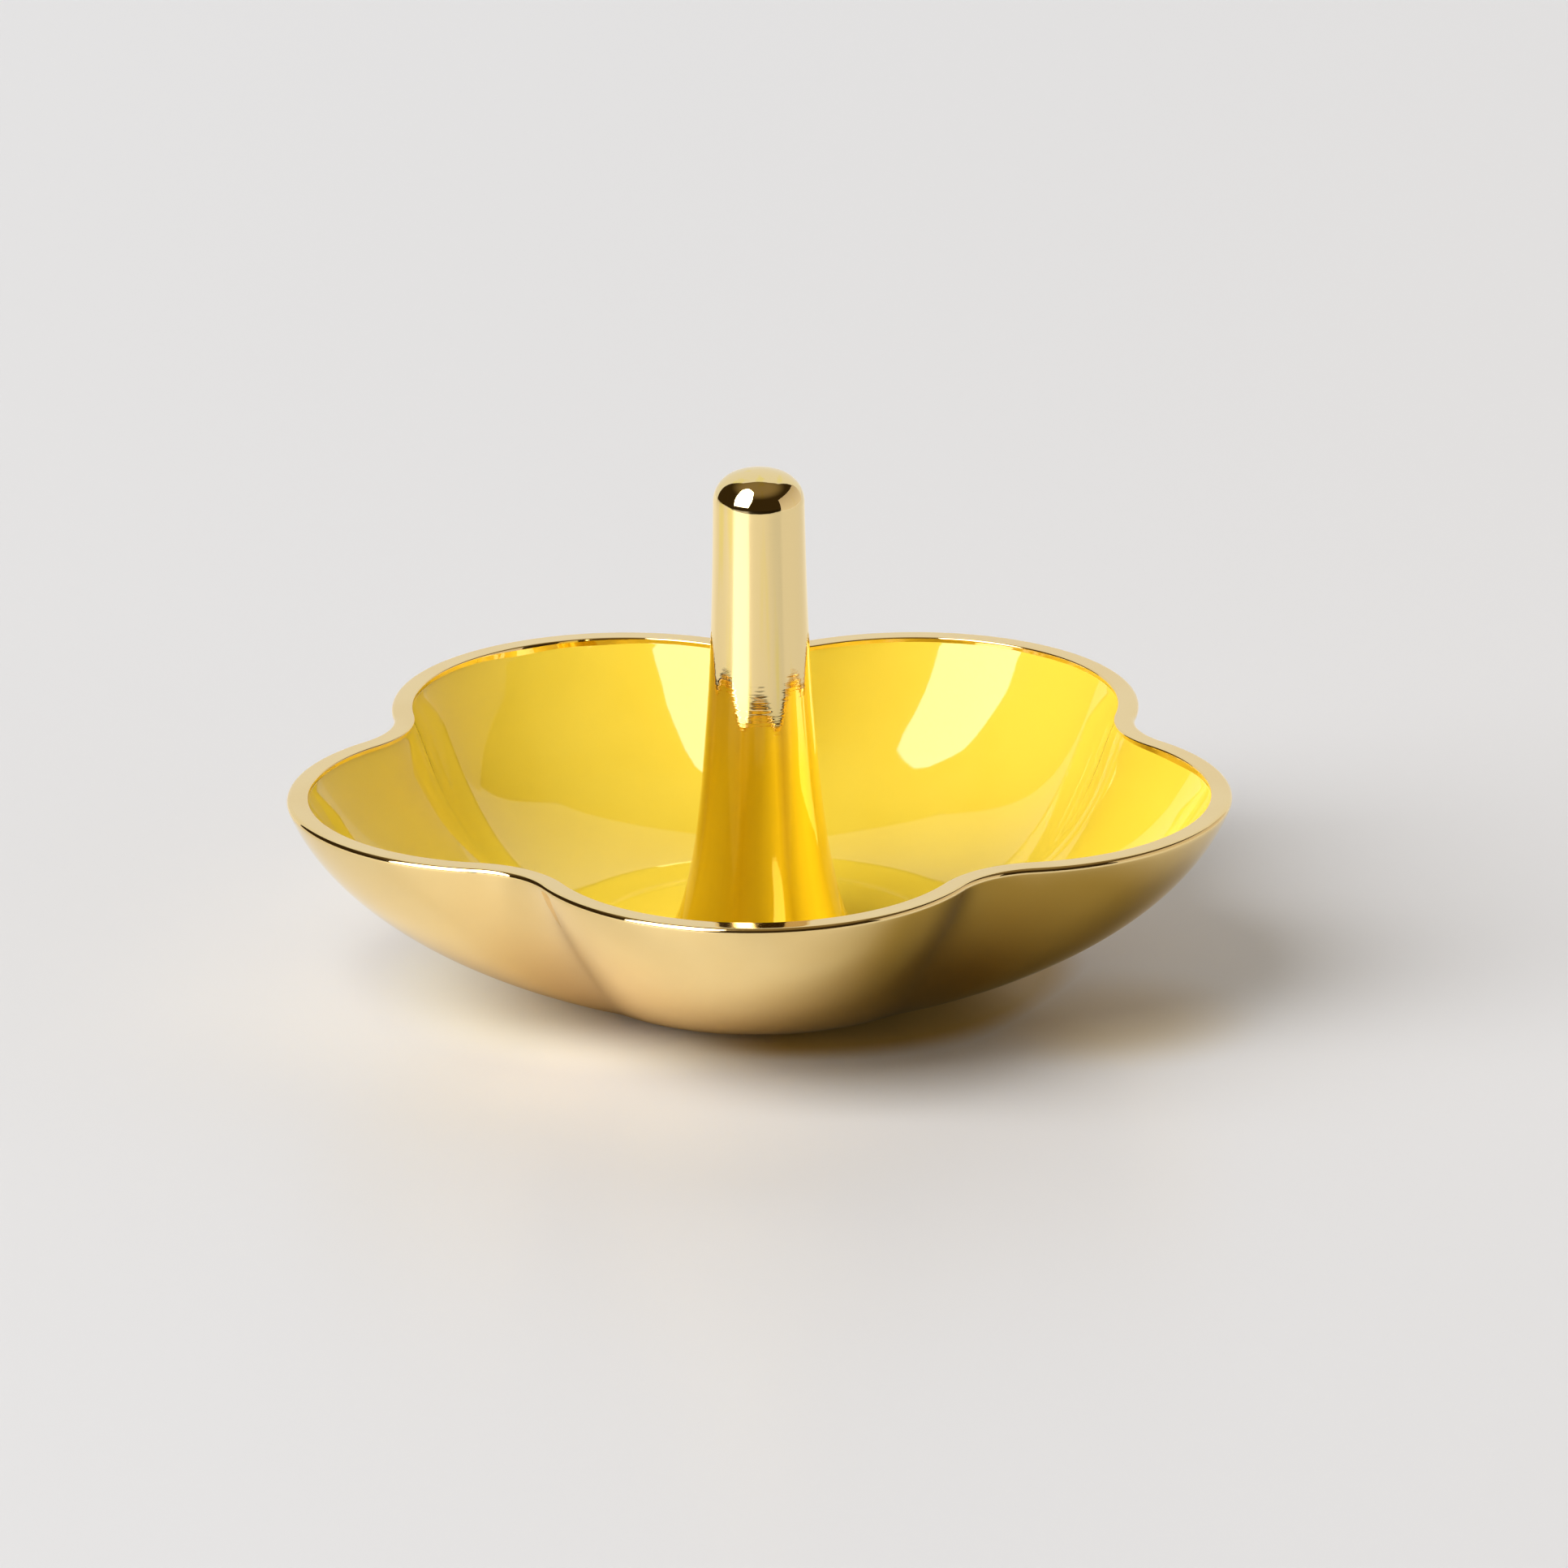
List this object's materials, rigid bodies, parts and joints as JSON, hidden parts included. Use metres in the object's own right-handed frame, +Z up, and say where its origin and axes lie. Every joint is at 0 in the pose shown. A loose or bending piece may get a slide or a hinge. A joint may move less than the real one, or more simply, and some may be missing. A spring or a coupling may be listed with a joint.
{
  "type": "ring dish",
  "caption": "Flower-shaped gold-plated metal dish with a glossy yellow enamel lining and an upright tapered post that holds finger rings.",
  "frame": {"origin": "centre of the felt pad's underside, on the table and on the post's axis", "axes": "+Z up along the post; a petal points along -Y, towards the picture's camera; +X to the right of it"},
  "size_m": [0.1104, 0.1077, 0.0624],
  "materials": {
    "gold_plate": "polished",
    "yellow_enamel": "gloss",
    "zinc_steel": "satin",
    "felt": "matte"
  },
  "bodies": {
    "root": {"dish_body": "gold_plate", "enamel_lining": "yellow_enamel", "ring_post": "gold_plate", "post_screw": "zinc_steel", "lock_washer": "zinc_steel", "flat_washer": "zinc_steel", "base_pad": "felt"}
  },
  "joints": []
}
